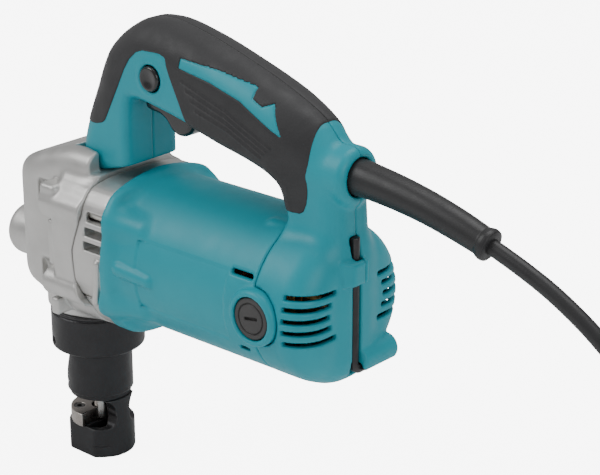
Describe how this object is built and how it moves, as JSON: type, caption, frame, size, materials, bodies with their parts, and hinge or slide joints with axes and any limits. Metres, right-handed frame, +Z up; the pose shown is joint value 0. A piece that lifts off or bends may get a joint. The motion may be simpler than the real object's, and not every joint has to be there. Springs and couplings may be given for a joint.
{
  "type": "nibbler tool",
  "caption": "Hand-held electric sheet-metal nibbler with a D handle, upright punch head, turnable die holder and mains cord.",
  "frame": {"origin": "centre of the die holder's flat sole, on the punch axis", "axes": "+Z up along the punch axis, +X back along the motor axis towards the cord, -Y the tool's left side"},
  "size_m": [0.5525, 0.0961, 0.2317],
  "materials": {
    "teal_plastic": "fine moulded texture",
    "soft_rubber": "matt soft grip",
    "cord_rubber": "satin rubber",
    "cast_aluminium": "fine blasted casting",
    "black_oxide_steel": "black oxide, turned",
    "bright_steel": "ground",
    "zinc_steel": "zinc plated",
    "black_plastic": "polished",
    "grey_plastic": "satin",
    "copper_wire": "enamelled",
    "brass": "satin",
    "bronze": "sintered",
    "carbon": "matt",
    "core_steel": "laminated"
  },
  "bodies": {
    "casing": {"motor_housing": "teal_plastic", "handle_left": "teal_plastic", "handle_right": "teal_plastic", "grip_rubber_left": "soft_rubber", "grip_rubber_right": "soft_rubber", "trigger_pin": "bright_steel", "switch_body": "grey_plastic", "handle_screws": "zinc_steel", "cord_guard": "cord_rubber", "cord_clamp": "grey_plastic", "cord_clamp_screws": "zinc_steel", "cord": "cord_rubber", "cord_coil": "cord_rubber", "coil_tie": "grey_plastic", "plug": "cord_rubber", "field_core": "core_steel", "field_coils": "copper_wire", "field_screws": "zinc_steel", "fan_baffle": "grey_plastic", "armature_front_bearing": "bright_steel", "armature_rear_bearing": "bright_steel", "brush_holders": "brass", "carbon_brushes": "carbon", "brush_springs": "bright_steel", "brush_caps": "grey_plastic", "gear_housing": "cast_aluminium", "bearing_box": "cast_aluminium", "housing_screws": "zinc_steel", "bearing_plate": "cast_aluminium", "plate_screws": "zinc_steel", "idler_bearings": "bright_steel", "crank_rear_bearing": "bright_steel", "crank_front_bearing": "bright_steel", "guide_sleeve": "bronze", "ram_seal": "soft_rubber"},
    "armature": {"armature_shaft": "bright_steel", "armature_core": "core_steel", "armature_winding": "copper_wire", "commutator": "brass", "fan": "grey_plastic"},
    "idler": {"idler_shaft": "bright_steel", "idler_gear": "bright_steel"},
    "crank": {"crank_shaft": "bright_steel", "crank_gear": "bright_steel", "eccentric_bearing": "bright_steel"},
    "ram": {"ram": "bright_steel", "wrist_pin": "bright_steel", "punch_screw": "black_oxide_steel"},
    "connecting_rod": {"connecting_rod": "bright_steel"},
    "punch": {"punch": "bright_steel"},
    "die_holder": {"die_holder": "black_oxide_steel", "die": "bright_steel", "die_screws": "black_oxide_steel"},
    "lock_nut": {"lock_nut": "black_oxide_steel"},
    "trigger": {"trigger": "black_plastic"},
    "lock_button": {"lock_button": "black_plastic"},
    "hex_wrench": {"hex_wrench": "black_oxide_steel"}
  },
  "joints": [
    {"name": "armature_spin", "type": "hinge", "parent": "casing", "child": "armature", "pos_m": [0.06, 0, 0.1207], "axis": [1, 0, 0], "continuous": true},
    {"name": "idler_spin", "type": "hinge", "parent": "casing", "child": "idler", "pos_m": [0.02, 0, 0.1376], "axis": [1, 0, 0], "continuous": true},
    {"name": "crank_spin", "type": "hinge", "parent": "casing", "child": "crank", "pos_m": [0, 0, 0.1116], "axis": [1, 0, 0], "continuous": true},
    {"name": "ram_slide", "type": "slide", "parent": "casing", "child": "ram", "axis": [0, 0, 1], "range_m": [-0.003, 0.003]},
    {"name": "rod_swing", "type": "hinge", "parent": "ram", "child": "connecting_rod", "pos_m": [0, 0, 0.087], "axis": [1, 0, 0], "range_deg": [-7, 7]},
    {"name": "die_holder_turn", "type": "hinge", "parent": "casing", "child": "die_holder", "pos_m": [0, 0, 0.04], "axis": [0, 0, 1], "continuous": true},
    {"name": "punch_turn", "type": "hinge", "parent": "ram", "child": "punch", "pos_m": [0, 0, 0.04], "axis": [0, 0, 1], "continuous": true},
    {"name": "lock_nut_turn", "type": "hinge", "parent": "casing", "child": "lock_nut", "pos_m": [0, 0, 0.068], "axis": [0, 0, 1], "range_deg": [0, 90]},
    {"name": "trigger_pull", "type": "hinge", "parent": "casing", "child": "trigger", "pos_m": [0.079, 0, 0.1917], "axis": [0, 1, 0], "range_deg": [0, 8], "stiffness_Nm_per_rad": 0.5, "springref_deg": -5.73},
    {"name": "lock_button_press", "type": "slide", "parent": "casing", "child": "lock_button", "axis": [0, 1, 0], "range_m": [0, 0.003], "stiffness_N_per_m": 300, "springref_m": -0.001},
    {"name": "wrench_slide", "type": "slide", "parent": "casing", "child": "hex_wrench", "axis": [0, 1, 0], "range_m": [0, 0.005]}
  ],
  "couplings": [
    {"joint": "idler_spin", "follows": "armature_spin", "ratio": -0.2381},
    {"joint": "crank_spin", "follows": "armature_spin", "ratio": 0.071429},
    {"joint": "punch_turn", "follows": "die_holder_turn", "ratio": 1}
  ]
}
